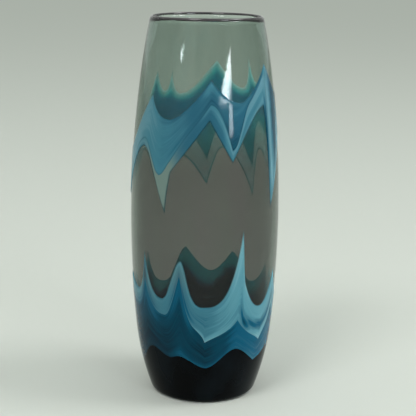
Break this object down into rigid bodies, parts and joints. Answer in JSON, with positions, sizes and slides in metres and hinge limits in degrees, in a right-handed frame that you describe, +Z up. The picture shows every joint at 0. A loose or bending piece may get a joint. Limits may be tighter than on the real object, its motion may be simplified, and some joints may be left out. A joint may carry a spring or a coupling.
{
  "type": "vase",
  "caption": "Tall barrel-shaped blown glass vase in smoke-grey glass, with combed blue trails in two wavy zones and a black foot.",
  "frame": {"origin": "centre of the foot, on the surface that the vase stands on", "axes": "+Z up along the vase's axis; the front, as pictured, faces -Y, with +X to its right"},
  "size_m": [0.118, 0.118, 0.3],
  "materials": {
    "smoke_glass": "polished transparent smoke-grey",
    "black_glass": "glossy opaque black",
    "blue_glass": "glossy teal blue",
    "pale_blue_glass": "glossy opaline pale blue",
    "plum_glass": "glossy dark plum-grey"
  },
  "bodies": {
    "root": {"smoke_body": "smoke_glass", "foot_cup": "black_glass", "lower_blue_trail": "blue_glass", "lower_pale_trail": "pale_blue_glass", "upper_blue_trail": "blue_glass", "upper_pale_trail": "pale_blue_glass", "lip_thread": "plum_glass"}
  },
  "joints": []
}
